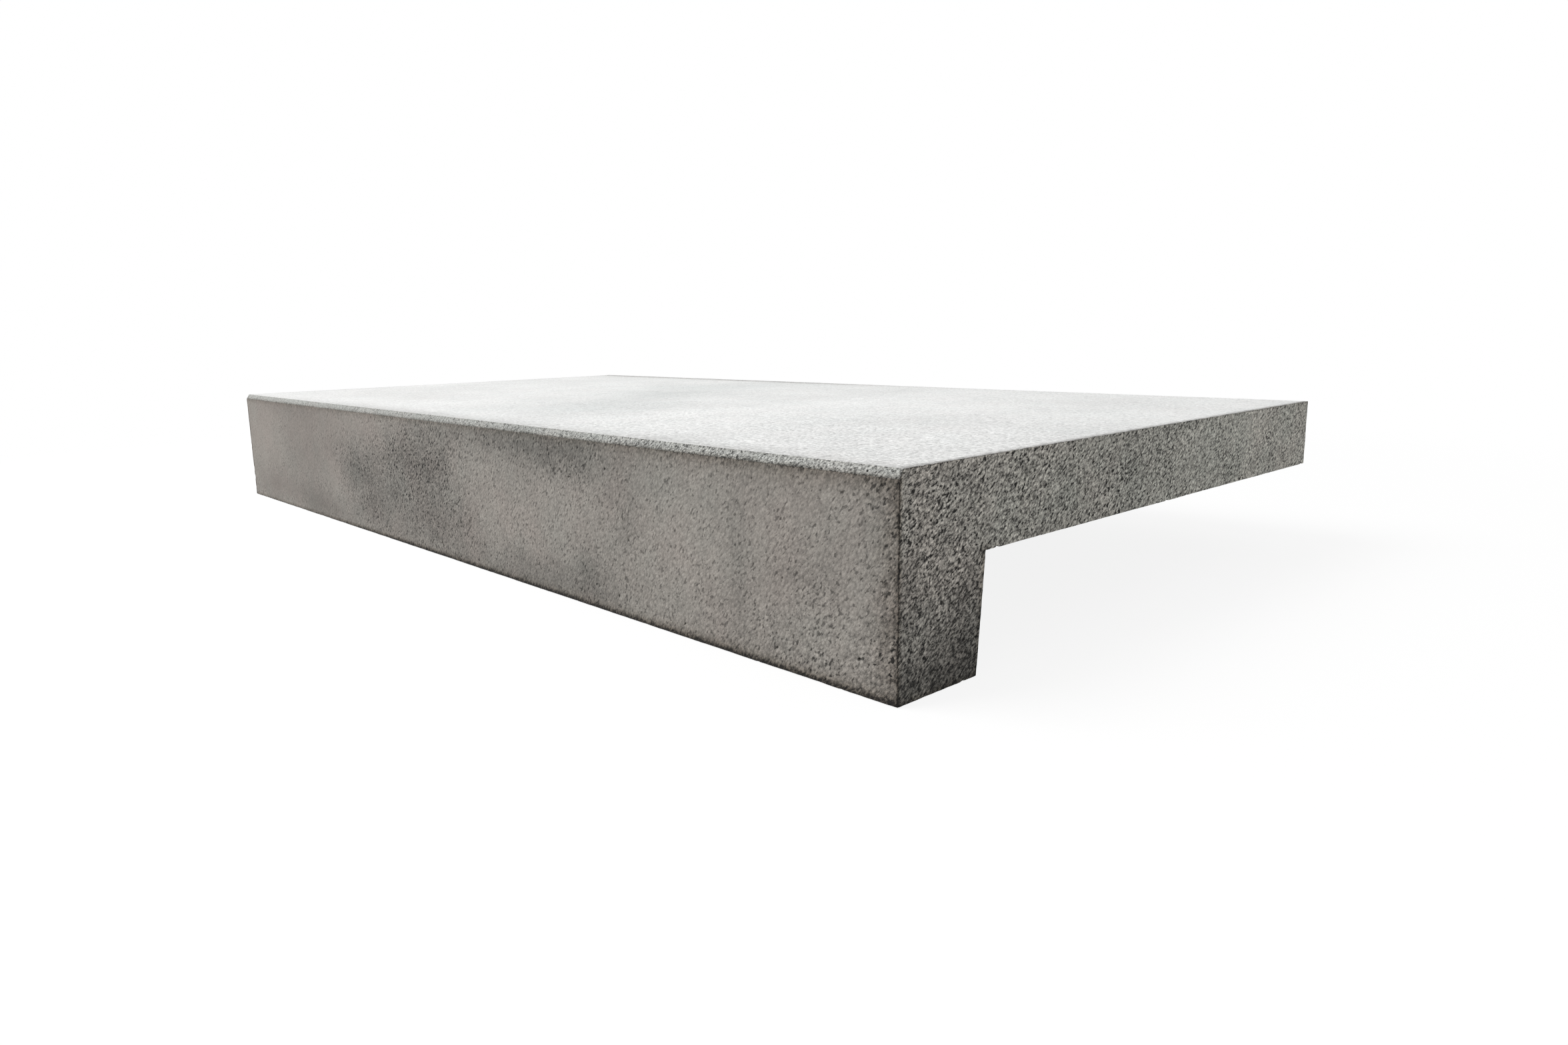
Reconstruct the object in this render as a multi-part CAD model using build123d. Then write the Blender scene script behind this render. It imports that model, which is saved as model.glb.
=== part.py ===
from build123d import *

import math
import os

# A drop-edge coping slab, cast in one piece: a flat slab whose front edge turns down in a
# square nose, so that a rebate is left behind the nose for the wall or step that it caps.
# It lies as it is laid, with its top level. +X runs along the nose, +Y from the nose's face
# to the back edge, and +Z up. The origin is the middle of the footprint, level with the foot
# of the nose. Sizes are in millimetres.

slab_length = 600.0
slab_depth = 300.0
slab_thickness = 30.0

nose_height = 70.0
nose_foot_width = 38.0
# Both faces of the nose have draft, as on a slab cast face down in a mould that opens
# towards the foot.
nose_face_draft_degrees = 0.9
nose_inner_draft_degrees = 5.7

# The bevel along the top front edge.
bevel_back = 1.8
bevel_drop = 2.9

# The small rounding of every other outer edge.
eased_radius = 0.8


def draft_over(height, degrees):
    """How far a face with this draft leans sideways over this height."""
    return height * math.tan(math.radians(degrees))


def section():
    """The slab's cross-section, as points of (depth, height) from the foot of the nose round."""
    front = -slab_depth / 2
    back = slab_depth / 2
    underside = nose_height - slab_thickness
    bevel_foot = nose_height - bevel_drop
    nose_foot_back = front + nose_foot_width
    nose_root = nose_foot_back + draft_over(underside, nose_inner_draft_degrees)
    face_at_bevel = front + draft_over(bevel_foot, nose_face_draft_degrees)
    face_at_top = front + draft_over(nose_height, nose_face_draft_degrees)
    with BuildSketch(Plane.YZ) as sketch:
        with BuildLine():
            Polyline(
                (front, 0),
                (nose_foot_back, 0),
                (nose_root, underside),
                (back, underside),
                (back, nose_height),
                (face_at_top + bevel_back, nose_height),
                (face_at_bevel, bevel_foot),
                close=True,
            )
        make_face()
    return sketch.sketch


def outer_edges(slab):
    """The edges to ease: both ends' outlines, and the long edges at the nose's foot and the back."""
    ends = slab.faces().filter_by(Axis.X)
    long_edges = slab.edges().filter_by(Axis.X)
    foot_edges = long_edges.group_by(Axis.Z)[0]
    back_edges = long_edges.group_by(Axis.Y)[-1]
    return ends.edges() + foot_edges + back_edges


def drop_edge_slab():
    """The whole slab: the section run along its length, with its outer edges eased."""
    slab = extrude(section(), amount=slab_length / 2, both=True)
    slab = fillet(outer_edges(slab), radius=eased_radius)
    slab.label = "drop_edge_slab"
    return slab


os.makedirs("parts", exist_ok=True)
export_step(drop_edge_slab(), "parts/drop_edge_slab.step")
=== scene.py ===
import math
import random
from typing import NamedTuple

import bpy
import numpy as np
from mathutils import Matrix, Vector, noise
from mathutils.geometry import delaunay_2d_cdt


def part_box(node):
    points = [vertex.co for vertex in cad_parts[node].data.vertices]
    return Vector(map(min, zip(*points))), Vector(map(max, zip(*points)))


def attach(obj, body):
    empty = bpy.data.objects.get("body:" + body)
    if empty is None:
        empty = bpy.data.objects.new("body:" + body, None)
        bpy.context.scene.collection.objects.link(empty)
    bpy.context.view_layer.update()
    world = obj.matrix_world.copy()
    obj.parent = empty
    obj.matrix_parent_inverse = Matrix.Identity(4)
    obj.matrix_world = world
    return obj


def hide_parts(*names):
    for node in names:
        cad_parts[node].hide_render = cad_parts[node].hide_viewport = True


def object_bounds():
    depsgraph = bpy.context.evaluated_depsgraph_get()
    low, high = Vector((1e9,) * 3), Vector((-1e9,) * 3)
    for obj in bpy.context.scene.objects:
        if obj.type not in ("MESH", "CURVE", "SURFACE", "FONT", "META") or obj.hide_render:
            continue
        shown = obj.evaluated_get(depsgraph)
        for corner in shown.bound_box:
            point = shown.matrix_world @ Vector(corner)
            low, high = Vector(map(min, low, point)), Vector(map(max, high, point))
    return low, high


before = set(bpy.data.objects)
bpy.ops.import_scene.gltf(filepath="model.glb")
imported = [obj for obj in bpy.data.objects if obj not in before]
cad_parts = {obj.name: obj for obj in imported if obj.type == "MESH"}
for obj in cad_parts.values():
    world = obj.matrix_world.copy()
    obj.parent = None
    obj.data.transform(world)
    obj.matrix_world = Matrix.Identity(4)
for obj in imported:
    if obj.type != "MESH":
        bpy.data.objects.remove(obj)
cad_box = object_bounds()

# A drop-edge coping slab of granular stone. Lengths are millimetres in the slab's own frame,
# unless a name says otherwise: +X runs along the nose, +Y from the nose's face to the back edge
# and +Z up, with the foot of the nose at zero.
MM = 0.001

NODE = "drop_edge_slab"
PIECE = "stone_slab"
SLOT = "granular_stone"

# The slab's overall size comes from the frame. The rest of its section follows.
HALF_LENGTH, BACK, TOP = [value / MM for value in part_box(NODE)[1]]
FRONT = -BACK
SLAB_THICKNESS = 30.0
NOSE_FOOT_WIDTH = 38.0
NOSE_FACE_DRAFT_DEGREES = 0.9
NOSE_INNER_DRAFT_DEGREES = 5.7
BEVEL_BACK = 1.8
BEVEL_DROP = 2.9
EASED_RADIUS = 0.8


def draft_over(height, degrees):
    """How far a face with this draft leans sideways over this height."""
    return height * math.tan(math.radians(degrees))


UNDERSIDE = TOP - SLAB_THICKNESS
ROOT = FRONT + NOSE_FOOT_WIDTH + draft_over(UNDERSIDE, NOSE_INNER_DRAFT_DEGREES)
BEVEL_FOOT = TOP - BEVEL_DROP
FACE_AT_BEVEL = FRONT + draft_over(BEVEL_FOOT, NOSE_FACE_DRAFT_DEGREES)
FACE_AT_TOP = FRONT + draft_over(TOP, NOSE_FACE_DRAFT_DEGREES)

# The corners of the section as (y, z), anticlockwise with +Y to the right.
SECTION = {
    "front_foot": (FRONT, 0.0),
    "inner_foot": (FRONT + NOSE_FOOT_WIDTH, 0.0),
    "root": (ROOT, UNDERSIDE),
    "back_low": (BACK, UNDERSIDE),
    "back_high": (BACK, TOP),
    "bevel_top": (FACE_AT_TOP + BEVEL_BACK, TOP),
    "bevel_low": (FACE_AT_BEVEL, BEVEL_FOOT),
}

# The long faces, each from one corner of the section to the next.
LONG_FACES = {
    "foot": ("front_foot", "inner_foot"),
    "inner": ("inner_foot", "root"),
    "bed": ("root", "back_low"),
    "back": ("back_low", "back_high"),
    "top": ("back_high", "bevel_top"),
    "bevel": ("bevel_top", "bevel_low"),
    "front": ("bevel_low", "front_foot"),
}
ENDS = {"left_end": -1, "right_end": 1}

# Pairs of long faces whose arris is eased. Every long face is also eased against both ends.
EASED = (("foot", "front"), ("foot", "inner"), ("back", "bed"), ("back", "top"))
# Pairs whose arris stays sharp. On it, the second face's direction is used.
SHARP = (("top", "bevel"), ("front", "bevel"), ("bed", "inner"))


class Finish(NamedTuple):
    """How one face looks and how finely it is modelled."""

    tone: tuple  # its mean colour, linear
    hue: float  # how far the colour wanders between cool and warm
    grain: float  # contrast of the grain
    # The pores are bumps only, so their darkness is painted shade.
    specks: float  # how dark the open pores are
    relief: float  # depth of the grain that is modelled, in millimetres
    fine_step: float  # distance between vertices near the arrises
    coarse_step: float  # and far from them
    pits: int  # how many pits are modelled at most
    pit_radius: tuple  # the smallest and the largest
    slant: float = 30.0  # the grain's long direction, in degrees from the face's own horizontal
    stretch: float = 1.3  # how much longer than wide a grain is
    grain_size: float = 0.95  # how wide it is, in millimetres


# Painted light and shade as well as finish: the one stone takes a pale tone on the top, where the light
# fell most, and darker tones on the bevel, the front and the ends.
PALE_AND_LIT = (0.699, 0.706, 0.702)
WORN_AND_SHADED = (0.322, 0.326, 0.312)
WARM_GREY = (0.255, 0.2385, 0.217)
COARSE_GREY = (0.364, 0.352, 0.320)

# What both ends share, and what the faces out of sight share.
COARSE_END = Finish(
    COARSE_GREY, hue=0.8, grain=1.60, specks=0.95, relief=0.12, fine_step=0.95, coarse_step=0.95,
    pits=260, pit_radius=(0.4, 0.75), slant=32, stretch=1.7, grain_size=0.78,
)
PLAIN_SIDE = Finish(
    WARM_GREY, hue=1.0, grain=0.70, specks=0.40, relief=0.15, fine_step=2.4, coarse_step=3.0,
    pits=50, pit_radius=(0.5, 1.1),
)

FINISHES = {
    "top": Finish(
        PALE_AND_LIT, hue=0.25, grain=0.30, specks=0.12, relief=0.04, fine_step=2.0, coarse_step=7.0,
        pits=60, pit_radius=(0.4, 0.7), slant=80, grain_size=1.05,
    ),
    "bevel": Finish(
        WORN_AND_SHADED, hue=0.5, grain=0.75, specks=0.50, relief=0.04, fine_step=1.1, coarse_step=1.1,
        pits=90, pit_radius=(0.30, 0.50), grain_size=0.7,
    ),
    "front": Finish(
        WARM_GREY, hue=0.8, grain=0.50, specks=0.44, relief=0.08, fine_step=1.45, coarse_step=1.45,
        pits=200, pit_radius=(0.35, 0.62), slant=48, stretch=1.75, grain_size=0.82,
    ),
    "right_end": COARSE_END,
    "left_end": COARSE_END._replace(fine_step=1.2, coarse_step=1.2),
    "back": PLAIN_SIDE._replace(fine_step=2.5, coarse_step=2.5, pits=90),
    "foot": PLAIN_SIDE,
    "inner": PLAIN_SIDE._replace(grain=0.60, specks=0.30, relief=0.12),
    "bed": PLAIN_SIDE._replace(fine_step=3.4, coarse_step=11.0, pits=150, pit_radius=(0.7, 1.6)),
}

# Distance between vertices along the long arrises, and round the ends.
ARRIS_STEP = {
    "front_foot": 1.2,
    "inner_foot": 2.2,
    "root": 2.6,
    "back_low": 2.0,
    "back_high": 1.7,
    "bevel_top": 1.1,
    "bevel_low": 1.1,
}
END_ARRIS_STEP = 1.0
# Rows of vertices that follow each arris on both its faces, at these distances.
ROW_OFFSETS = (0.28, 0.8)
# How far chance moves a face's other vertices, as a share of the distance between them.
LATTICE_WANDER = 0.22
# The smallest triangle that is kept, in square millimetres.
SLIVER = 0.001

# How far the arrises are worn, as shares of EASED_RADIUS: the mean, what slow and quick waves of
# chance add, with the waves' sizes, and the least and the most.
MEAN_WEAR = 0.25
SLOW_WEAR = 0.25
SLOW_WEAR_SIZE = 25.0
QUICK_WEAR = 0.20
QUICK_WEAR_SIZE = 4.0
WEAR_RANGE = (0.10, 1.0)

# The size of the modelled grain, and its depth on an arris, as a share of that on the faces.
RELIEF_SIZE = 1.7
ARRIS_RELIEF = 0.4
# How deep and how long the slow waves of every face are.
WAVE_DEPTH = 0.04
WAVE_SIZE = 50.0

# How often a place is tried for each pit, and how strongly small pits outnumber large ones.
PIT_TRIES = 12
PIT_SIZE_POWER = 2.2
# How much longer than wide a pit is, how far it turns from the grain's slant and how deep it is, as a
# share of its radius.
PIT_STRETCH = (1.0, 1.8)
PIT_TURN_DEGREES = 35
PIT_DEPTH_SHARE = (0.45, 0.8)
# How far pits stay from each other and from the rows along the arrises, and how far other vertices
# stay from a pit's rim, in steps of the face.
PIT_GAP = 0.6
PIT_ROW_GAP = 0.1
PIT_CLEARANCE = 0.45
# How likely a place is to take a pit where the grain is plain, and what coarser grain adds.
PIT_CHANCE = 0.1
PIT_COARSE_CHANCE = 1.2
# A pit's rings from its rim inwards: share of its radius, vertices, turn and share of its depth.
PIT_RINGS = ((1.0, 9, 0.0, 0.0), (0.62, 7, 0.3, 0.8), (0.0, 1, 0.0, 1.0))

# One chip to so many millimetres of arris, its least depth, what chance adds at most, how strongly
# shallow chips outnumber deep ones, and its radius, as a share of its depth and a length added to it.
CHIP_SPACING = 11
CHIP_DEPTH = 0.18
CHIP_EXTRA_DEPTH = 0.42
CHIP_DEPTH_POWER = 3
CHIP_RADIUS_SHARE = (1.6, 3.0)
CHIP_EXTRA_RADIUS = 0.5
CHIP_SEED = 12
# How deep the chips along some of the long arrises are, as a share of the others.
CHIP_SHARES = {"bevel_top": 0.45, "bevel_low": 0.45, "front_foot": 0.5}

# How deep a pit and a chip are where they take the full painted shade of a hollow.
HOLLOW_PIT_DEPTH = 0.45
HOLLOW_CHIP_DEPTH = 0.5


class Spot(NamedTuple):
    """A soft patch on a face, with its middle and reach in two of the frame's axes."""

    face: str
    middle: tuple
    reach: tuple
    shade: float  # how much lighter, or if negative darker
    coarse: float = 0.0  # how much coarser the grain
    warmth: float = 0.0  # how much warmer, or if negative cooler


# Each row: a face, a middle, a reach, then how much lighter, coarser and warmer the patch is.
# Middles are (x, z) on the front and the bevel, (y, z) on an end and (x, y) on the top.
SPOTS = (
    Spot("front", (-275, 45), (45, 30), 0.05, -0.7, 0.6),
    Spot("front", (-240, 12), (60, 10), -0.18, -0.5, 0.5),
    Spot("front", (-210, 64), (70, 7), -0.14, -0.2, 0.6),
    Spot("front", (-180, 45), (50, 25), -0.15, -0.5, 0.9),
    Spot("front", (-172, 11), (24, 10), -0.10, -0.2),
    Spot("front", (-150, 6), (42, 9), -0.24, -0.1, 0.2),
    Spot("front", (-142, 27), (12, 12), 0.10, -0.4, 0.4),
    Spot("front", (-110, 60), (50, 7), 0.03, -0.3, 0.6),
    Spot("front", (-104, 35), (32, 13), -0.34, 0.9),
    Spot("front", (-80, 16), (24, 12), -0.32, 0.6, 0.2),
    Spot("front", (-54, 26), (8, 4), -0.22, 0.4),
    Spot("front", (-30, 44), (36, 17), -0.42, 1.5, -0.1),
    Spot("front", (-10, 16), (36, 15), -0.31, 0.8, 0.1),
    Spot("front", (8, 44), (18, 14), -0.20, 0.5, -0.1),
    Spot("front", (28, 22), (19, 20), -0.11, 0.2, 0.5),
    Spot("front", (60, 63), (60, 7), -0.30, 0.4, -0.4),
    Spot("front", (120, 60), (34, 10), -0.34, 0.5, -0.4),
    Spot("front", (100, 33), (42, 16), 0.09, -0.1, 0.4),
    Spot("front", (95, 5), (50, 10), -0.28, 0.2),
    Spot("front", (139, 13), (14, 11), -0.26, 0.4, -0.4),
    Spot("front", (165, 36), (7, 14), -0.16, 0.2, -0.1),
    Spot("front", (180, 4), (26, 7), 0.07),
    Spot("front", (200, 34), (26, 24), 0.12),
    Spot("front", (230, 34), (4, 26), -0.14, 0.1, -0.2),
    Spot("front", (262, 33), (17, 9), -0.14, 0.3, 0.3),
    Spot("front", (262, 20), (30, 30), 0.05),
    Spot("front", (275, 8), (40, 12), 0.0, 0.6, 0.2),
    Spot("front", (298, 35), (8, 60), -0.12, 0.85, 0.3),
    Spot("front", (296, 12), (9, 16), -0.09, 0.2, 0.1),
    Spot("front", (290, 62), (16, 14), -0.07, 0.3, -0.1),
    Spot("bevel", (250, 68), (150, 30), 0.04, 0.6),
    Spot("bevel", (-200, 68), (150, 30), 0.04, -0.3),
    # Painted shade: the end darkens towards the foot of the nose and beside the rebate
    Spot("right_end", (-118, -2), (38, 22), -0.77, 0.5),
    Spot("right_end", (-112, 22), (12, 12), -0.22, 0.1),
    Spot("right_end", (-145, 8), (9, 14), -0.18, 0.0, 0.2),
    Spot("right_end", (-147, 34), (10, 15), -0.22, 0.0, 0.2),
    Spot("right_end", (-132, 45), (22, 30), -0.18, 0.2, 1.1),
    Spot("right_end", (30, 55), (110, 40), 0.02, 0.0, -0.8),
    Spot("right_end", (28, 69), (34, 2.5), -0.12, 0.1, -0.2),
    Spot("right_end", (88, 64), (14, 8), 0.16, -0.2, 0.6),
    Spot("right_end", (38, 58), (10, 10), 0.08, -0.2, -0.4),
    Spot("right_end", (68, 50), (14, 7), -0.12, 0.2, -0.2),
    Spot("right_end", (107, 55), (5, 14), -0.12, 0.2, -0.2),
    Spot("right_end", (100, 55), (90, 40), 0.19, -0.24),
    Spot("top", (-80, 65), (40, 30), -0.09, 0.0, -0.5),
    Spot("top", (-35, 10), (35, 35), -0.13, 0.0, -0.5),
    Spot("top", (20, -70), (42, 40), -0.14, 0.0, -0.5),
    Spot("top", (-40, 105), (40, 40), -0.06, 0.0, -0.4),
    Spot("top", (-200, -100), (120, 60), -0.05, 0.0, 0.2),
    Spot("top", (-268, 20), (30, 120), -0.04),
    Spot("top", (-40, -144), (90, 10), -0.08),
    Spot("top", (130, 0), (55, 110), 0.09),
    Spot("top", (260, 110), (40, 60), 0.03),
    Spot("top", (240, -110), (170, 90), -0.02, 0.7),
    # Painted shade at the foot of the nose
    Spot("left_end", (-126, 2), (26, 18), -0.30, 0.1, 0.2),
    Spot("left_end", (20, 55), (60, 20), 0.08, -0.2, -0.2),
)
# The two of the frame's axes that a face's patches are placed along.
SPOT_AXES = {
    "front": (0, 2),
    "bevel": (0, 2),
    "right_end": (1, 2),
    "left_end": (1, 2),
    "top": (0, 1),
}
# The patches' edges are ragged: the size of the waves, and how far they move, as a share of the reach.
SPOT_WAVE_SIZE = 11.0
SPOT_WANDER = 0.3


class DarkLine(NamedTuple):
    """A dark band on one face along the arris that it shares with another. Some are painted shade, as
    the table marks.
    """

    face: str
    beside: str
    dark: float  # how dark it is on the arris
    width: float  # how far from the arris it has faded to a third
    grows: tuple = ()  # from where to where along the slab it grows to its full strength
    ragged: float = 0.4  # how far chance breaks it up


DARK_LINES = (
    # Painted shade along the foot of the nose, where it meets the floor
    DarkLine("front", "foot", 0.50, 1.2),
    DarkLine("front", "foot", 1.15, 1.4, grows=(-200, -40)),
    DarkLine("front", "foot", 0.45, 3.4, grows=(-120, 240)),
    DarkLine("front", "right_end", 0.64, 0.8, ragged=0.9),
    DarkLine("front", "right_end", 0.30, 8.0, ragged=0.7),
    DarkLine("front", "left_end", 0.60, 1.4),
    DarkLine("front", "bevel", 0.25, 2.0),
    DarkLine("front", "bevel", 0.24, 5.0, grows=(80, 250)),
    DarkLine("bevel", "front", 0.52, 0.8),
    DarkLine("bevel", "front", 0.45, 0.7, grows=(0, 280)),
    DarkLine("bevel", "top", 0.12, 0.6, grows=(-240, -40), ragged=1.0),
    DarkLine("bevel", "right_end", 0.50, 0.8),
    DarkLine("right_end", "front", 0.70, 0.8, ragged=0.9),
    # Painted shade along the end's foot and beside the rebate
    DarkLine("right_end", "foot", 0.55, 1.4),
    DarkLine("right_end", "inner", 0.35, 2.0),
    DarkLine("left_end", "front", 0.60, 1.0),
    DarkLine("left_end", "top", 0.15, 0.8, ragged=1.0),
    # Painted shade along the end's foot
    DarkLine("left_end", "foot", 0.45, 1.4),
    DarkLine("top", "bevel", 0.17, 9.0, grows=(-420, -20)),
    DarkLine("top", "back", 0.20, 5.0, grows=(170, 0), ragged=0.9),
    DarkLine("top", "back", 0.41, 11.0, grows=(50, -40)),
    DarkLine("top", "left_end", 0.25, 3.0),
    DarkLine("top", "right_end", 0.58, 2.4),
    DarkLine("back", "top", 0.70, 1.5),
    DarkLine("back", "bed", 0.35, 1.5),
    # Painted shade under the nose and in the crease where it meets the floor
    DarkLine("foot", "front", 0.95, 2.4),
    DarkLine("foot", "inner", 0.40, 2.0),
    DarkLine("inner", "foot", 0.40, 2.0),
    DarkLine("bed", "back", 0.30, 2.0),
)
# How chance breaks the lines up: the size of its waves, and the least and the most that it leaves.
RAGGED_SIZE = 3.0
RAGGED_RANGE = (0.3, 1.4)
# The most that one line darkens the stone.
DARKEST_LINE = 0.95


class Face:
    """One flat side of the sharp slab, with flat axes u and v as seen from outside."""

    def __init__(self, name, corners, u_axis, v_axis):
        self.name = name
        self.corners = corners
        self.origin = corner_place(corners[0])
        self.u_axis = np.array(u_axis, float)
        self.v_axis = np.array(v_axis, float)
        self.normal = np.cross(self.u_axis, self.v_axis)

    def flatten(self, places):
        """Places as flat points (u, v) of this face."""
        away = np.asarray(places) - self.origin
        return np.stack([away @ self.u_axis, away @ self.v_axis], -1)

    def lift(self, flat):
        """Flat points of this face as places."""
        return self.origin + flat[:, :1] * self.u_axis + flat[:, 1:] * self.v_axis

    def depth(self, places):
        """How far inside this face's plane each place lies."""
        return (self.origin - places) @ self.normal

    def distance(self, places):
        """How far each place is from this face, seen along the arris with another face."""
        if self.name in ENDS:
            return np.abs(self.depth(places))
        start, end = (np.array(SECTION[name]) for name in LONG_FACES[self.name])
        return line_distance(places[:, 1:], start, end)


def corner_place(corner):
    """Where a corner of the sharp slab lies. It is named by its place in the section and its end."""
    name, side = corner
    y, z = SECTION[name]
    return np.array([side * HALF_LENGTH, y, z])


def slab_faces():
    """Every face of the sharp slab, by name."""
    faces = {}
    for name, (first, second) in LONG_FACES.items():
        up = corner_place((first, 1)) - corner_place((second, 1))
        corners = [(second, -1), (second, 1), (first, 1), (first, -1)]
        faces[name] = Face(name, corners, (1, 0, 0), up / np.linalg.norm(up))
    for name, side in ENDS.items():
        corners = [(corner, side) for corner in SECTION][::side]
        faces[name] = Face(name, corners, (0, side, 0), (0, 0, 1))
    return faces


def sides(corners):
    """Each corner of a closed outline with the next."""
    return zip(corners, np.roll(corners, -1, 0))


def line_distance(points, start, end):
    """How far each flat point is from a line with two ends."""
    along = end - start
    share = np.clip((points - start) @ along / (along @ along), 0, 1)
    away = points - start - share[:, None] * along
    return np.hypot(*away.T)


def edge_distance(points, corners):
    """How far each flat point is from the nearest side of an outline."""
    return np.min([line_distance(points, start, end) for start, end in sides(corners)], 0)


def inside(points, corners):
    """Which flat points lie within an outline."""
    within = np.zeros(len(points), bool)
    for start, end in sides(corners):
        crosses = (start[1] > points[:, 1]) != (end[1] > points[:, 1])
        # No point's level crosses a level side, so there any rise will do
        rise = end[1] - start[1] or 1.0
        at = start[0] + (points[:, 1] - start[1]) * (end[0] - start[0]) / rise
        within ^= crosses & (points[:, 0] < at)
    return within


def inset(corners, distance):
    """An anticlockwise outline's corners, moved inwards."""
    ahead = np.roll(corners, -1, 0) - corners
    ahead /= np.linalg.norm(ahead, axis=1)[:, None]
    inward = np.stack([-ahead[:, 1], ahead[:, 0]], 1)
    before = np.roll(inward, 1, 0)
    turn = 1 + (inward * before).sum(1)
    return corners + (inward + before) * (distance / turn)[:, None]


def rows(corners, step):
    """Points in rows that follow the outline at ROW_OFFSETS."""
    points = []
    for offset in ROW_OFFSETS:
        for start, end in sides(inset(corners, offset)):
            count = max(1, round(np.linalg.norm(end - start) / step))
            shares = np.arange(count)[:, None] / count
            points.append(start + shares * (end - start))
    return np.concatenate(points)


def lattice(low, high, step, chance):
    """A triangular lattice over a box, each point moved a little at random."""
    u, v = np.meshgrid(
        np.arange(low[0], high[0] + step, step),
        np.arange(low[1], high[1] + step, step * math.sqrt(3) / 2),
    )
    u[1::2] += step / 2
    points = np.stack([u.ravel(), v.ravel()], 1)
    return points + chance.uniform(-LATTICE_WANDER, LATTICE_WANDER, points.shape) * step


def graded_lattice(corners, finish, chance):
    """Points over an outline's inside, close together at its rim and further apart within."""
    widening = 1.45
    band_in_steps = 2.6
    clearance_in_steps = 0.5
    step = finish.fine_step
    near = ROW_OFFSETS[-1]
    points = []
    last = False
    while not last:
        last = step * widening > finish.coarse_step
        far = np.inf if last else near + band_in_steps * step
        tried = lattice(corners.min(0), corners.max(0), step, chance)
        tried = tried[inside(tried, corners)]
        depth = edge_distance(tried, corners)
        points.append(tried[(depth > near + step * clearance_in_steps) & (depth <= far)])
        near = far
        step *= widening
    return np.concatenate(points)


class Pit(NamedTuple):
    """A small oval hollow in a face."""

    middle: np.ndarray
    radius: float
    stretch: float  # how much longer than wide
    angle: float  # its long direction, in radians from the face's horizontal
    depth: float

    def unturned(self, points):
        """Flat points as seen from the pit, with its rim as the unit circle."""
        away = points - self.middle
        c, s = math.cos(self.angle), math.sin(self.angle)
        turned = away @ np.array([[c, -s], [s, c]])
        return turned / (self.radius * np.array([self.stretch, 1.0]))

    def ring(self, share, count, phase):
        """Flat points evenly round the pit's middle, at a share of its radius."""
        turn = phase + np.arange(count) * 2 * math.pi / count
        circle = np.stack([np.cos(turn), np.sin(turn)], 1) * share
        circle = circle * self.radius * np.array([self.stretch, 1.0])
        c, s = math.cos(self.angle), math.sin(self.angle)
        return self.middle + circle @ np.array([[c, s], [-s, c]])


def coarseness(face, flat):
    """How much coarser the soft patches make the grain at a flat point of a face."""
    place = face.lift(flat[None])[0]
    total = 0.0
    for spot in SPOTS:
        if spot.face == face.name:
            away = [
                (place[axis] - middle) / reach
                for axis, middle, reach in zip(SPOT_AXES[face.name], spot.middle, spot.reach)
            ]
            total += spot.coarse * math.exp(-sum(value**2 for value in away))
    return total


def scatter_pits(face, corners, finish, dice):
    """Pits of chance size and place, clear of each other and of the arrises."""
    smallest, largest = finish.pit_radius
    low, high = corners.min(0), corners.max(0)
    pits = []
    for _ in range(finish.pits * PIT_TRIES):
        if len(pits) == finish.pits:
            break
        middle = np.array([dice.uniform(low[0], high[0]), dice.uniform(low[1], high[1])])
        radius = smallest + (largest - smallest) * dice.random() ** PIT_SIZE_POWER
        stretch = dice.uniform(*PIT_STRETCH)
        angle = math.radians(finish.slant + dice.uniform(-PIT_TURN_DEGREES, PIT_TURN_DEGREES))
        depth = radius * dice.uniform(*PIT_DEPTH_SHARE)
        reach = radius * stretch
        wanted = PIT_CHANCE + PIT_COARSE_CHANCE * coarseness(face, middle)
        clear = all(
            np.hypot(*(middle - pit.middle)) > reach + pit.radius * pit.stretch + PIT_GAP
            for pit in pits
        )
        rim = edge_distance(middle[None], corners)[0]
        fits = inside(middle[None], corners)[0] and rim > ROW_OFFSETS[-1] + reach + PIT_ROW_GAP
        if fits and clear and dice.random() < wanted:
            pits.append(Pit(middle, radius, stretch, angle, depth))
    return pits


def pit_points(pits):
    """The rim, inner ring and middle of each pit, and how deep each point lies."""
    points = [np.zeros((0, 2))]
    hollows = []
    for pit in pits:
        for share, count, phase, sunk in PIT_RINGS:
            points.append(pit.ring(share, count, phase))
            hollows += [sunk * pit.depth] * count
    return np.concatenate(points), hollows


def face_points(face, corners, finish):
    """The flat points within a face that its triangles join, and how deep in a pit each lies."""
    seed = sum(map(ord, face.name))
    pits = scatter_pits(face, corners, finish, random.Random(seed))
    pitted, hollows = pit_points(pits)
    spread = graded_lattice(corners, finish, np.random.default_rng(seed))
    for pit in pits:
        clear = 1 + PIT_CLEARANCE * finish.fine_step / pit.radius
        spread = spread[np.hypot(*pit.unturned(spread).T) > clear]
    lined = rows(corners, max(finish.fine_step, END_ARRIS_STEP))
    within = np.concatenate([lined, spread, pitted])
    return within, [0.0] * (len(lined) + len(spread)) + hollows


def joined(flat, rim_count, corners):
    """Triangles over an outline, by the numbers of its flat points. The first points are its rim."""
    points = [Vector(point) for point in flat]
    within_rim = 1
    merge_distance = 1e-5
    _, _, made, sources, _, _ = delaunay_2d_cdt(
        points, [], [list(range(rim_count))], within_rim, merge_distance, True
    )
    original = np.array([numbers[0] for numbers in sources])
    picked = original[np.array(made)]
    # What is left out fills the notch under the slab, or is a sliver along an arris
    a, b, c = (flat[picked[:, n]] for n in range(3))
    area = ((b - a)[:, 0] * (c - a)[:, 1] - (b - a)[:, 1] * (c - a)[:, 0]) / 2
    return picked[(area > SLIVER) & inside((a + b + c) / 3, corners)]


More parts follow.
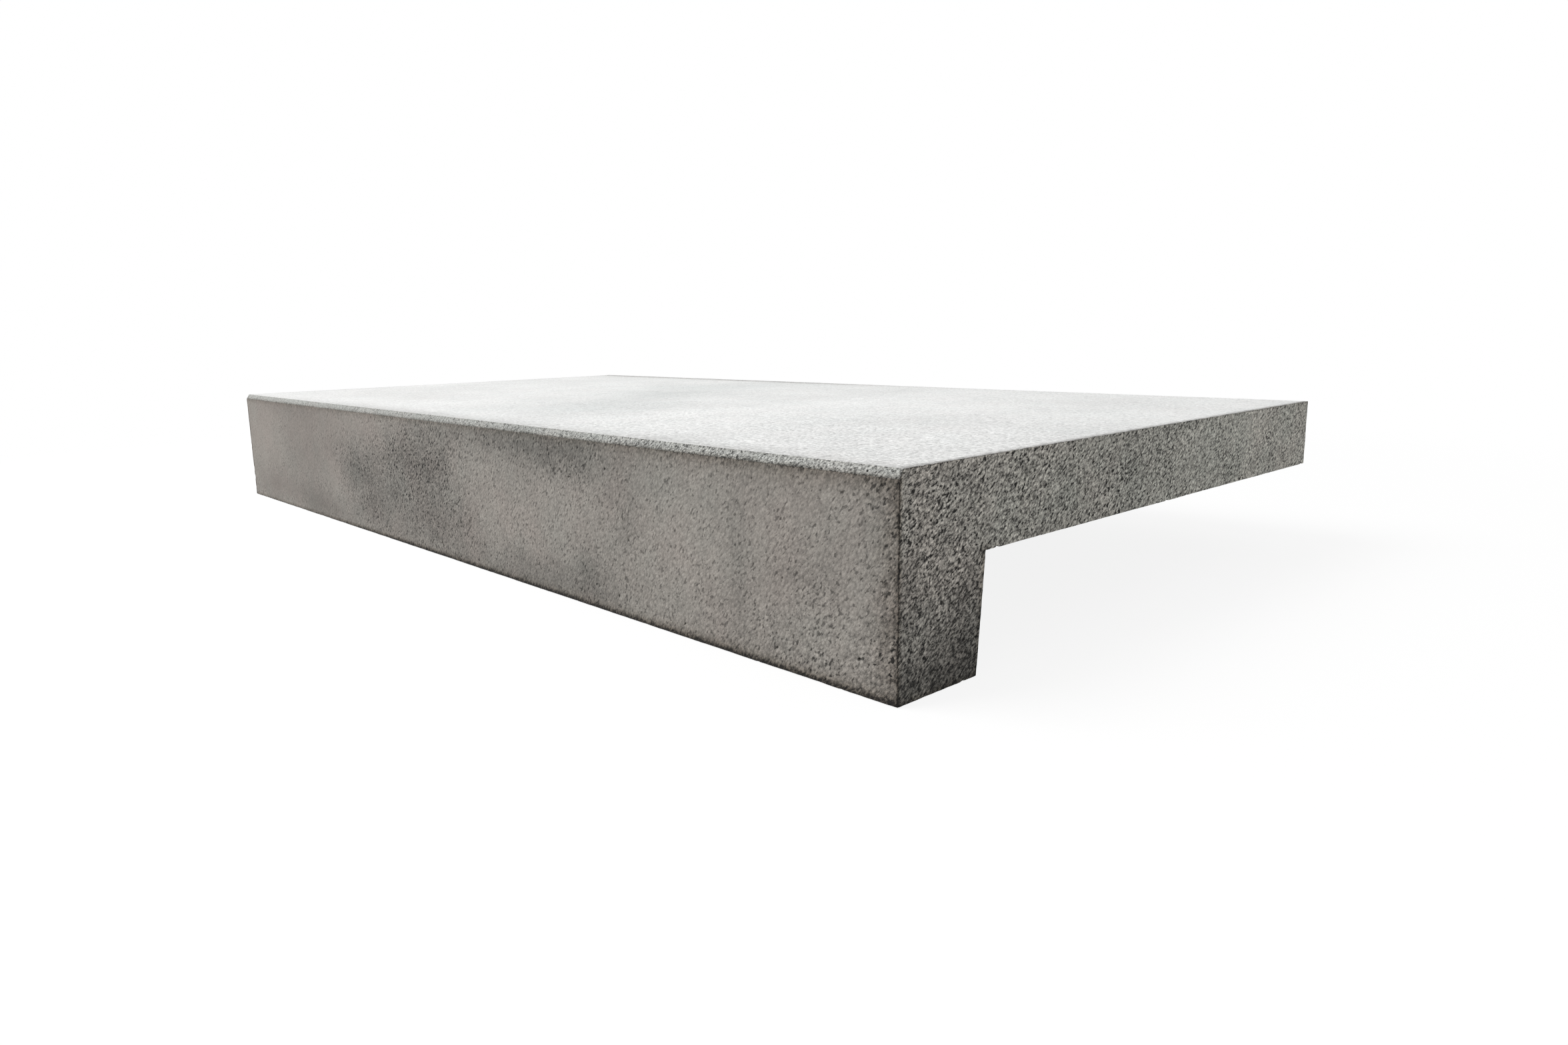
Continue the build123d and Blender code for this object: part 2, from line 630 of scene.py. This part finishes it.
class Skin:
    """The slab's surface as it grows: vertices on the sharp faces, and triangles."""

    def __init__(self, faces):
        self.faces = faces
        # For each vertex: its place, how deep in a pit it lies and the names of its faces
        self.places = []
        self.hollows = []
        self.owners = []
        # For each triangle: its vertices, its face's name and its corners as flat points
        self.triangles = []
        self.triangle_face = []
        self.triangle_flat = []
        # The vertices that faces share
        self.corners = {}
        self.arrises = {}

    def vertex(self, place, hollow=0.0):
        """Adds a vertex and gives its number."""
        self.places.append(place)
        self.hollows.append(hollow)
        self.owners.append(set())
        return len(self.places) - 1

    def corner(self, corner):
        """The vertex at a corner, made once."""
        if corner not in self.corners:
            self.corners[corner] = self.vertex(corner_place(corner))
        return self.corners[corner]

    def arris(self, start, end):
        """The vertices from one corner to the next, made once for both faces that meet there."""
        if (start, end) not in self.arrises:
            from_place, to_place = corner_place(start), corner_place(end)
            along = to_place - from_place
            step = ARRIS_STEP[start[0]] if start[0] == end[0] else END_ARRIS_STEP
            count = max(1, round(np.linalg.norm(along) / step))
            middle = [self.vertex(from_place + along * k / count) for k in range(1, count)]
            run = [self.corner(start)] + middle + [self.corner(end)]
            self.arrises[start, end] = run
            self.arrises[end, start] = run[::-1]
        return self.arrises[start, end]

    def fill(self, face, finish):
        """Covers one face with triangles."""
        corners = face.flatten([corner_place(corner) for corner in face.corners])
        rim = []
        for start, end in zip(face.corners, face.corners[1:] + face.corners[:1]):
            rim += self.arris(start, end)[:-1]
        within, hollows = face_points(face, corners, finish)
        added = [self.vertex(place, hollow) for place, hollow in zip(face.lift(within), hollows)]
        numbers = rim + added
        flat = np.concatenate([face.flatten([self.places[n] for n in rim]), within])
        for triangle in joined(flat, len(rim), corners):
            self.triangles.append([numbers[n] for n in triangle])
            self.triangle_face.append(face.name)
            self.triangle_flat.append(flat[triangle])
        for number in numbers:
            self.owners[number].add(face.name)


# Shifts in millimetres that keep two noises of one kind apart.
SPOT_SHIFT = 500.0
WEAR_SHIFT = 300
WAVE_SHIFT = 700


def noise_at(places, size, octaves=1):
    """Smooth noise from about -1 to 1 at each place, with features of about that size."""
    fade, widening = 0.6, 2.1
    return np.array([noise.fractal(Vector(p), fade, widening, octaves) for p in places / size])


def owner_masks(skin):
    """For each face, which vertices it owns, with each sharp arris left to one of its faces."""
    owners = [set(owned) for owned in skin.owners]
    for given_up, kept in SHARP:
        for owned in owners:
            if kept in owned:
                owned.discard(given_up)
    return {name: np.array([name in owned for owned in owners]) for name in skin.faces}


def eased_pairs():
    """Every two faces whose arris is eased, both ways round."""
    long_with_ends = [(name, end) for name in LONG_FACES for end in ENDS]
    pairs = list(EASED) + long_with_ends
    return pairs + [(second, first) for first, second in pairs]


def lean_and_outward(skin, places, owned, radius):
    """For each vertex, how far easing the arrises moves it, and which way is outwards there."""
    # The planes of the two faces that meet at the root go on into the slab, where they ease nothing
    tiny = 1e-3
    reach = {
        "inner": places[:, 2] < UNDERSIDE - tiny,
        "bed": places[:, 1] > ROOT - tiny,
    }
    pull = {}
    for name, face in skin.faces.items():
        near = owned[name].copy()
        for first, second in eased_pairs():
            if second == name:
                near |= owned[first]
        near &= reach.get(name, True) | owned[name]
        pull[name] = np.where(near, np.clip(radius - face.depth(places), 0, None), 0)
    length = np.sqrt(sum(value**2 for value in pull.values()))
    move = np.zeros_like(places)
    outward = np.zeros_like(places)
    for name, face in skin.faces.items():
        share = pull[name] / length
        move -= (pull[name] - share * radius)[:, None] * face.normal
        outward += share[:, None] * face.normal
    outward /= np.linalg.norm(outward, axis=1)[:, None]
    return move, outward


def chips(dice):
    """Small bites out of the arrises, as spheres: middle, radius and how deep each goes in."""
    arrises = [((name, -1), (name, 1)) for name in SECTION if name != "root"]
    for first, second in LONG_FACES.values():
        for side in ENDS.values():
            arrises.append(((first, side), (second, side)))
    centre = np.array([0, (ROOT + BACK) / 2, (UNDERSIDE + TOP) / 2])
    found = []
    for start, end in arrises:
        share = CHIP_SHARES.get(start[0], 1.0) if start[0] == end[0] else 1.0
        a, b = corner_place(start), corner_place(end)
        length = np.linalg.norm(b - a)
        for _ in range(max(1, int(length / CHIP_SPACING))):
            middle = a + (b - a) * dice.random()
            outward = middle - centre
            along = (b - a) / length
            outward -= along * (outward @ along)
            outward = np.sign(np.round(outward, 3))
            outward /= np.linalg.norm(outward)
            bite = share * (CHIP_DEPTH + CHIP_EXTRA_DEPTH * dice.random() ** CHIP_DEPTH_POWER)
            radius = bite * dice.uniform(*CHIP_RADIUS_SHARE) + CHIP_EXTRA_RADIUS
            found.append((middle + outward * (radius - bite), radius, bite))
    return found


def bitten(places, dice):
    """Presses the chips into the places, and gives how deep each was pressed."""
    nearest = 0.05
    depth = np.zeros(len(places))
    for middle, radius, bite in chips(dice):
        near = np.flatnonzero(np.abs(places - middle).max(1) < radius)
        away = places[near] - middle
        distance = np.linalg.norm(away, axis=1)
        hit = distance < radius
        near, away, distance = near[hit], away[hit], distance[hit]
        places[near] = middle + away * (radius / np.maximum(distance, nearest))[:, None]
        depth[near] = np.maximum(depth[near], radius - distance)
    return depth


def spot_fields(places, owned):
    """For each vertex, how the soft patches change its shade, its coarseness and its warmth."""
    fields = np.zeros((3, len(places)))
    wander = [
        SPOT_WANDER * noise_at(places + shift, SPOT_WAVE_SIZE, 3) for shift in (0.0, SPOT_SHIFT)
    ]
    for spot in SPOTS:
        first, second = SPOT_AXES[spot.face]
        away_a = (places[:, first] - spot.middle[0]) / spot.reach[0] + wander[0]
        away_b = (places[:, second] - spot.middle[1]) / spot.reach[1] + wander[1]
        fall = np.exp(-(away_a**2 + away_b**2)) * owned[spot.face]
        fields += np.outer((spot.shade, spot.coarse, spot.warmth), fall)
    return fields


def dark_line_field(skin, places, owned):
    """For each vertex, how dark the bands along the arrises make it, partly as painted shade."""
    clean = np.ones(len(places))
    chance = noise_at(places, RAGGED_SIZE, 2)
    for line in DARK_LINES:
        away = skin.faces[line.beside].distance(places)
        broken = np.clip(1 + line.ragged * chance, *RAGGED_RANGE)
        dark = line.dark * broken * np.exp(-((away / line.width) ** 2)) * owned[line.face]
        if line.grows:
            start, end = line.grows
            dark *= np.clip((places[:, 0] - start) / (end - start), 0, 1)
        clean *= 1 - np.clip(dark, 0, DARKEST_LINE)
    return 1 - clean


class Box(NamedTuple):
    """Where a face lies in the bake's map: its low corner and its scale, in shares of the map."""

    left: float
    low: float
    scale: float


# The side of the bake's map and the gap between two faces in it, in pixels.
MAP_SIZE = 1024
MAP_GAP = 8
# Pixels of the map for each millimetre: more on the faces that show.
SHOWN_DENSITY = 1.61
HIDDEN_DENSITY = 0.80


def map_boxes(skin):
    """The faces laid side by side in the map, in rows from its foot."""
    layout = (
        (("top", SHOWN_DENSITY),),
        (("front", SHOWN_DENSITY),),
        (("bevel", SHOWN_DENSITY),),
        (("left_end", SHOWN_DENSITY), ("right_end", SHOWN_DENSITY)),
        (("back", HIDDEN_DENSITY), ("foot", HIDDEN_DENSITY)),
        (("bed", HIDDEN_DENSITY), ("inner", HIDDEN_DENSITY)),
    )
    boxes = {}
    low = MAP_GAP
    for row in layout:
        left = MAP_GAP
        tallest = 0
        for name, density in row:
            face = skin.faces[name]
            corners = face.flatten([corner_place(corner) for corner in face.corners])
            size = np.ptp(corners, 0) * density
            start = np.array([left, low]) - corners.min(0) * density
            boxes[name] = Box(start[0] / MAP_SIZE, start[1] / MAP_SIZE, density / MAP_SIZE)
            left += size[0] + MAP_GAP
            tallest = max(tallest, size[1])
        low += tallest + MAP_GAP
    return boxes


def add_map(mesh, skin):
    """Gives the mesh its places in the bake's map."""
    boxes = map_boxes(skin)
    spots = [
        flat * boxes[name].scale + (boxes[name].left, boxes[name].low)
        for flat, name in zip(skin.triangle_flat, skin.triangle_face)
    ]
    layer = mesh.uv_layers.new(name="OFBake")
    layer.data.foreach_set("uv", np.concatenate(spots).astype(np.float32).ravel())


def set_attribute(mesh, name, kind, domain, values):
    """Keeps values for the mesh's points, corners or faces, which the material reads."""
    field = {"FLOAT": "value", "FLOAT_COLOR": "color", "FLOAT_VECTOR": "vector"}[kind]
    attribute = mesh.attributes.new(name, kind, domain)
    attribute.data.foreach_set(field, np.asarray(values, np.float32).ravel())


def worn_places(skin, flat, owned, coarse):
    """The vertices on the worn slab, with how hollow each is, from 0 to 1."""
    slow = SLOW_WEAR * noise_at(flat, SLOW_WEAR_SIZE, 2)
    quick = QUICK_WEAR * noise_at(flat + WEAR_SHIFT, QUICK_WEAR_SIZE, 1)
    radius = EASED_RADIUS * np.clip(MEAN_WEAR + slow + quick, *WEAR_RANGE)
    move, outward = lean_and_outward(skin, flat, owned, radius)
    faces_met = sum(owned[name].astype(float) for name in owned)
    relief = sum(FINISHES[name].relief * owned[name] for name in owned) / faces_met
    relief[faces_met > 1] *= ARRIS_RELIEF
    grain = 0.5 - 0.5 * noise_at(flat, RELIEF_SIZE, 2)
    waves = WAVE_DEPTH * (0.5 - 0.5 * noise_at(flat + WAVE_SHIFT, WAVE_SIZE, 2))
    hollows = np.array(skin.hollows)
    depth = np.clip(relief * (1 + coarse) * grain + waves, 0, None) + hollows
    places = flat + move - outward * depth[:, None]
    bites = bitten(places, random.Random(CHIP_SEED))
    low, high = [np.array(corner) / MM for corner in cad_box]
    places = np.clip(places, low, high)
    hollow = np.clip(np.maximum(hollows / HOLLOW_PIT_DEPTH, bites / HOLLOW_CHIP_DEPTH), 0, 1)
    return places, hollow


# How far apart two faces' grains lie, counted in grains.
FACE_SHIFT = 60.0


def grain_places(skin):
    """Where each triangle's corners lie in its face's grain, counted in grains: along, across, face."""
    turned = []
    names = list(FINISHES)
    for flat, name in zip(skin.triangle_flat, skin.triangle_face):
        finish = FINISHES[name]
        slant = math.radians(finish.slant)
        c, s = math.cos(slant), math.sin(slant)
        along = flat @ (c, s) / (finish.grain_size * finish.stretch)
        across = flat @ (-s, c) / finish.grain_size
        turned.append(np.stack([along, across, np.full(3, names.index(name) * FACE_SHIFT)], 1))
    return np.concatenate(turned)


def slab_mesh():
    """The whole slab as one closed mesh, in metres, with what its material reads."""
    skin = Skin(slab_faces())
    for name, face in skin.faces.items():
        skin.fill(face, FINISHES[name])
    owned = owner_masks(skin)
    flat = np.array(skin.places)
    shade, coarse, warmth = spot_fields(flat, owned)
    places, hollow = worn_places(skin, flat, owned, coarse)
    mesh = bpy.data.meshes.new(PIECE)
    mesh.from_pydata((places * MM).tolist(), [], skin.triangles)
    mesh.polygons.foreach_set("use_smooth", [True] * len(mesh.polygons))
    of_points = {
        "hollow": hollow,
        "stain": shade,
        "coarse": 1 + coarse,
        "warmth": warmth,
        "grime": dark_line_field(skin, flat, owned),
    }
    for name, values in of_points.items():
        set_attribute(mesh, name, "FLOAT", "POINT", values)
    set_attribute(mesh, "grain_place", "FLOAT_VECTOR", "CORNER", grain_places(skin))
    finishes = [FINISHES[name] for name in skin.triangle_face]
    set_attribute(mesh, "tone", "FLOAT_COLOR", "FACE", [(*finish.tone, 1) for finish in finishes])
    for name in ("hue", "grain", "specks"):
        set_attribute(mesh, name, "FLOAT", "FACE", [getattr(finish, name) for finish in finishes])
    add_map(mesh, skin)
    mesh.update()
    return mesh


class Graph:
    """Short ways to build a node tree. A value is a number, a colour or another node's output."""

    def __init__(self, tree):
        self.tree = tree
        tree.nodes.clear()

    def node(self, kind, inputs=None, **settings):
        """A new node, with its inputs set or linked by name or number."""
        made = self.tree.nodes.new(kind)
        for name, value in settings.items():
            setattr(made, name, value)
        for name, value in (inputs or {}).items():
            if isinstance(value, bpy.types.NodeSocket):
                self.tree.links.new(value, made.inputs[name])
            else:
                made.inputs[name].default_value = value
        return made

    def attribute(self, name):
        """What the mesh says under this name."""
        return self.node("ShaderNodeAttribute", attribute_name=name).outputs

    def math(self, operation, *values, clamp=False):
        inputs = dict(enumerate(values))
        made = self.node("ShaderNodeMath", inputs, operation=operation, use_clamp=clamp)
        return made.outputs[0]

    def add(self, *values):
        total = values[0]
        for value in values[1:]:
            total = self.math("ADD", total, value)
        return total

    def times(self, *values):
        product = values[0]
        for value in values[1:]:
            product = self.math("MULTIPLY", product, value)
        return product

    def less(self, share, *values):
        """One minus a share of the values' product."""
        return self.math("SUBTRACT", 1.0, self.times(share, *values))

    def ramp(self, value, low, high, to_low=0.0, to_high=1.0):
        """A smooth step from one value to another, between two values of the input."""
        inputs = {
            "Value": value, "From Min": low, "From Max": high, "To Min": to_low, "To Max": to_high,
        }
        made = self.node("ShaderNodeMapRange", inputs, interpolation_type="SMOOTHSTEP")
        return made.outputs["Result"]

    def noise(self, place, size, detail, rough=0.5):
        """Noise about zero, with features of that size."""
        inputs = {"Vector": place, "Scale": 1 / size, "Detail": detail, "Roughness": rough}
        made = self.node("ShaderNodeTexNoise", inputs)
        return self.math("SUBTRACT", made.outputs[0], 0.5)

    def vector(self, operation, inputs, output=0):
        return self.node("ShaderNodeVectorMath", inputs, operation=operation).outputs[output]

    def moved(self, place, by):
        return self.vector("ADD", {0: place, 1: by})

    def scaled(self, colour, share):
        return self.vector("SCALE", {0: colour, "Scale": share})

    def tinted(self, colour, tint):
        return self.vector("MULTIPLY", {0: colour, 1: tint})

    def cells(self, place, size):
        """Cells of about that size: distance from each cell's middle, and a chance value for it."""
        inputs = {"Vector": place, "Scale": 1 / size}
        made = self.node("ShaderNodeTexVoronoi", inputs).outputs
        chance = self.node("ShaderNodeSeparateColor", {0: made["Color"]}).outputs[0]
        return made["Distance"], self.math("SUBTRACT", chance, 0.5)

    def mix(self, share, first, second):
        """A colour between two colours. The node's sockets share names, so they go by number."""
        inputs = {0: share, 6: first, 7: second}
        return self.node("ShaderNodeMix", inputs, data_type="RGBA").outputs[2]


# The sizes of the stone's clumps, clouds and changes of hue, in millimetres.
CLUMP_SIZE = 9.0
CLOUD_SIZE = 55.0
HUE_SIZE = 22.0
# The sizes of the grain's own noises and how far its cells are warped, in grains.
CELL_SIZE = 1.0
CELL_WARP = 0.55
GRAIN_NOISE_SIZE = 1.05
DUST_SIZE = 0.38
PORE_SIZE = 1.4
# How far from its middle a cell is as high as the stone's mean.
DOME_RADIUS = 0.52
# The values of the pores' noise between which a pore opens.
PORE_RIM = (0.10, 0.19)
# Shifts that keep two noises of one kind apart.
PORE_SHIFT = (37, 11, 5)
HUE_SHIFT = (400, 0, 90)

# How much of the tone is left at least: between grains, in the pores' painted shade and under the dark
# bands of dirt and painted shade.
LEAST_OF_GRAIN = 0.15
LEAST_OF_PORES = 0.08
LEAST_UNDER_DARK_LINES = 0.06
# The dark bands, dirt and painted shade alike, are stronger between grains than on them: heights of the
# grain, and shares there.
DARK_LINE_HEIGHTS = (-0.30, 0.35)
DARK_LINE_SHARES = (1.20, 0.85)
# What the tone is multiplied by where the stone is coolest, warmest, off the dark bands and darkest in
# them, dirt and painted shade alike.
COOL = (0.977, 1.005, 0.998, 1)
WARM = (1.031, 0.992, 0.986, 1)
UNBROWNED = (1, 1, 1, 1)
BROWN = (1.12, 1.0, 0.86, 1)

ROUGHNESS = 0.86
SPECULAR_LEVEL = 0.35


class Noises(NamedTuple):
    """The outputs that the stone is made of. They are about zero, apart from the pores."""

    cell_tone: object  # each grain's own lightness
    dome: object  # high in a grain's middle
    grains: object
    dust: object
    pore: object  # 1 in an open pore and 0 outside it
    clumps: object
    clouds: object
    hue: object


def stone_noises(g):
    """The grain's own noises follow each face's slant. The others run through the whole slab."""
    place = g.scaled(g.node("ShaderNodeTexCoord").outputs["Object"], 1 / MM)
    grain_place = g.attribute("grain_place")["Vector"]
    warp = g.node("ShaderNodeTexNoise", {"Vector": grain_place, "Scale": 1.0, "Detail": 0.0})
    warped = g.moved(grain_place, g.scaled(warp.outputs[1], CELL_WARP))
    from_middle, cell_tone = g.cells(warped, CELL_SIZE)
    clumps = g.noise(place, CLUMP_SIZE, 2.0)
    pores = g.noise(g.moved(grain_place, PORE_SHIFT), PORE_SIZE, 1.0)
    return Noises(
        cell_tone=cell_tone,
        dome=g.math("SUBTRACT", DOME_RADIUS, from_middle),
        grains=g.noise(grain_place, GRAIN_NOISE_SIZE, 1.0),
        dust=g.noise(grain_place, DUST_SIZE, 1.0),
        pore=g.ramp(g.add(pores, g.times(clumps, 0.25)), *PORE_RIM),
        clumps=clumps,
        clouds=g.noise(place, CLOUD_SIZE, 3.0, 0.55),
        hue=g.noise(g.moved(place, HUE_SHIFT), HUE_SIZE, 3.0),
    )


def stone_shade(g, said, noises):
    """How light the stone is, as a share of its tone."""
    grain = g.add(
        g.times(noises.cell_tone, 0.55),
        g.times(noises.dome, 0.9),
        g.times(noises.grains, 1.4),
        g.times(noises.dust, 1.2),
    )
    contrast = g.times(said["grain"], said["coarse"])
    grain_shade = g.math("MAXIMUM", g.add(1.0, g.times(grain, contrast)), LEAST_OF_GRAIN)
    # Painted shade in the open pores
    open_pore = g.less(said["coarse"], noises.pore, said["specks"])
    pore_shade = g.math("MAXIMUM", open_pore, LEAST_OF_PORES)

    # The faces whose colour wanders are blotched as well, even where their grain is fine
    blotching = g.add(g.times(contrast, 0.16), g.times(said["hue"], 0.18))
    blotches = g.times(noises.clumps, blotching)
    # The patches hold the stone's own mottling and the painted shade at the nose's foot on both ends
    slow_shade = g.add(1.0, g.times(noises.clouds, 0.28), blotches, said["stain"])

    broken = g.ramp(grain, *DARK_LINE_HEIGHTS, *DARK_LINE_SHARES)
    dirt_and_painted_shade = g.math("MAXIMUM", g.less(broken, said["grime"]), LEAST_UNDER_DARK_LINES)
    # Painted shade in the modelled pits and chips
    hollow_shade = g.less(0.85, said["hollow"])
    return g.times(grain_shade, pore_shade, slow_shade, dirt_and_painted_shade, hollow_shade)


def stone_tone(g, said, noises):
    """The face's tone, cooler or warmer from patch to patch, and brown in the dark bands of dirt and
    painted shade.
    """
    wander = g.times(said["hue"], noises.hue, 2.2)
    warm = g.math("ADD", 0.5, g.add(wander, g.times(said["warmth"], 0.45)), clamp=True)
    tint = g.mix(warm, COOL, WARM)
    brown = g.mix(g.times(said["grime"], said["hue"]), UNBROWNED, BROWN)
    return g.tinted(g.tinted(g.attribute("tone")["Color"], tint), brown)


def stone_bump(g, said, noises):
    """The normals of the finest grain and the pores."""
    contrast = g.times(said["grain"], said["coarse"])
    height_in_millimetres = g.add(
        g.times(noises.dome, contrast, 0.12),
        g.times(noises.grains, contrast, 0.15),
        g.times(noises.dust, contrast, 0.08),
        g.times(noises.pore, said["specks"], -0.16),
    )
    inputs = {"Height": height_in_millimetres, "Strength": 1.0, "Distance": MM}
    return g.node("ShaderNodeBump", inputs).outputs[0]


def stone_material():
    """Granular stone: light and dark grains, soft clouds, dark bands along the arrises, partly painted
    shade, and painted shade in pores, pits and chips.
    """
    material = bpy.data.materials.new(SLOT)
    material.use_nodes = True
    g = Graph(material.node_tree)
    names = ("hue", "grain", "specks", "coarse", "stain", "warmth", "grime", "hollow")
    said = {name: g.attribute(name)["Fac"] for name in names}
    noises = stone_noises(g)
    colour = g.scaled(stone_tone(g, said, noises), stone_shade(g, said, noises))
    shader = g.node(
        "ShaderNodeBsdfPrincipled",
        {
            "Base Color": colour,
            "Roughness": g.add(ROUGHNESS, g.times(noises.dust, 0.25), g.times(noises.pore, 0.06)),
            "Specular IOR Level": SPECULAR_LEVEL,
            "Normal": stone_bump(g, said, noises),
        },
    )
    g.node("ShaderNodeOutputMaterial", {"Surface": shader.outputs[0]})
    return material


def add_slab():
    slab = bpy.data.objects.new(PIECE, slab_mesh())
    bpy.context.scene.collection.objects.link(slab)
    slab.data.materials.append(stone_material())
    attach(slab, "root")
    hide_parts(NODE)


# The studio, in metres and watts.
FLOOR_SIDE = 6.0
FLOOR_GAP = 0.0002
# The floor as it lights the slab from below, and as the camera sees it where it is shaded.
FLOOR_COLOUR = 0.62
SHADED_COLOUR = 0.98
# The world as it lights the slab, and white as the camera sees it.
WORLD_LEVEL = 0.55
WHITE_LEVEL = 1.0
WHITE = (1, 1, 1, 1)
# How much of the floor's shade the camera sees near the slab, and from where to where it fades away.
SHADOW_SHARE = 0.13
SHADOW_FADE = (0.40, 0.80)
KEY_PLACE = (-0.85, -1.2, 1.85)
KEY_SIDE = 1.5
KEY_POWER = 48.0


def floor_material():
    """A floor that the camera sees as white, with a little of the slab's shadow."""
    material = bpy.data.materials.new("pale_floor")
    material.use_nodes = True
    g = Graph(material.node_tree)
    path = g.node("ShaderNodeLightPath").outputs
    plain = g.node("ShaderNodeBsdfDiffuse", {"Color": (FLOOR_COLOUR,) * 3 + (1,)}).outputs[0]
    shaded = g.node("ShaderNodeBsdfDiffuse", {"Color": (SHADED_COLOUR,) * 3 + (1,)}).outputs[0]
    white = g.node("ShaderNodeEmission", {"Color": WHITE, "Strength": WHITE_LEVEL}).outputs[0]
    metres = g.node("ShaderNodeTexCoord").outputs["Object"]
    distance = g.vector("LENGTH", {0: metres}, "Value")
    share = g.ramp(distance, *SHADOW_FADE, SHADOW_SHARE, 0.0)
    seen = g.node("ShaderNodeMixShader", {0: share, 1: white, 2: shaded}).outputs[0]
    surface = g.node("ShaderNodeMixShader", {0: path["Is Camera Ray"], 1: plain, 2: seen}).outputs[0]
    g.node("ShaderNodeOutputMaterial", {"Surface": surface})
    return material


def add_floor():
    half = FLOOR_SIDE / 2
    mesh = bpy.data.meshes.new("floor")
    corners = [(-half, -half), (half, -half), (half, half), (-half, half)]
    mesh.from_pydata([(x, y, -FLOOR_GAP) for x, y in corners], [], [(0, 1, 2, 3)])
    floor = bpy.data.objects.new("floor", mesh)
    bpy.context.scene.collection.objects.link(floor)
    mesh.materials.append(floor_material())


def add_world():
    """Even light from all sides, which the camera and reflections see as white."""
    world = bpy.data.worlds.new("studio")
    bpy.context.scene.world = world
    world.use_nodes = True
    g = Graph(world.node_tree)
    path = g.node("ShaderNodeLightPath").outputs
    reflected = g.math("MAXIMUM", path["Is Glossy Ray"], path["Is Transmission Ray"])
    seen = g.math("MAXIMUM", path["Is Camera Ray"], reflected)
    lit = g.node("ShaderNodeBackground", {"Color": WHITE, "Strength": WORLD_LEVEL}).outputs[0]
    white = g.node("ShaderNodeBackground", {"Color": WHITE, "Strength": WHITE_LEVEL}).outputs[0]
    surface = g.node("ShaderNodeMixShader", {0: seen, 1: lit, 2: white}).outputs[0]
    g.node("ShaderNodeOutputWorld", {"Surface": surface})


def add_lamp():
    """One large soft lamp in front of the slab, turned to the slab's middle."""
    lamp = bpy.data.lights.new("key_softbox", "AREA")
    lamp.size = KEY_SIDE
    lamp.energy = KEY_POWER
    key = bpy.data.objects.new("key_softbox", lamp)
    key.location = KEY_PLACE
    key.rotation_euler = Vector(KEY_PLACE).to_track_quat("Z", "Y").to_euler()
    bpy.context.scene.collection.objects.link(key)


# The camera that the photograph's perspective gives. Its place is in millimetres.
CAMERA_PLACE = (481.45, -360.25, 109.22)
CAMERA_AZIMUTH_DEGREES = 46.177
CAMERA_ELEVATION_DEGREES = 11.387
CAMERA_ROLL_DEGREES = -1.06
CAMERA_LENS = 23.119
CAMERA_SHIFT = (-0.01313, 0.00458)


def add_camera():
    data = bpy.data.cameras.new("camera")
    data.lens = CAMERA_LENS
    data.shift_x, data.shift_y = CAMERA_SHIFT
    data.clip_start = 0.01
    camera = bpy.data.objects.new("camera", data)
    camera.matrix_world = (
        Matrix.Translation(Vector(CAMERA_PLACE) * MM)
        @ Matrix.Rotation(math.radians(CAMERA_AZIMUTH_DEGREES), 4, "Z")
        @ Matrix.Rotation(math.radians(90 - CAMERA_ELEVATION_DEGREES), 4, "X")
        @ Matrix.Rotation(math.radians(CAMERA_ROLL_DEGREES), 4, "Z")
    )
    bpy.context.scene.collection.objects.link(camera)
    bpy.context.scene.camera = camera


add_slab()
add_floor()
add_world()
add_lamp()
add_camera()
bpy.context.scene.view_settings.view_transform = "Standard"
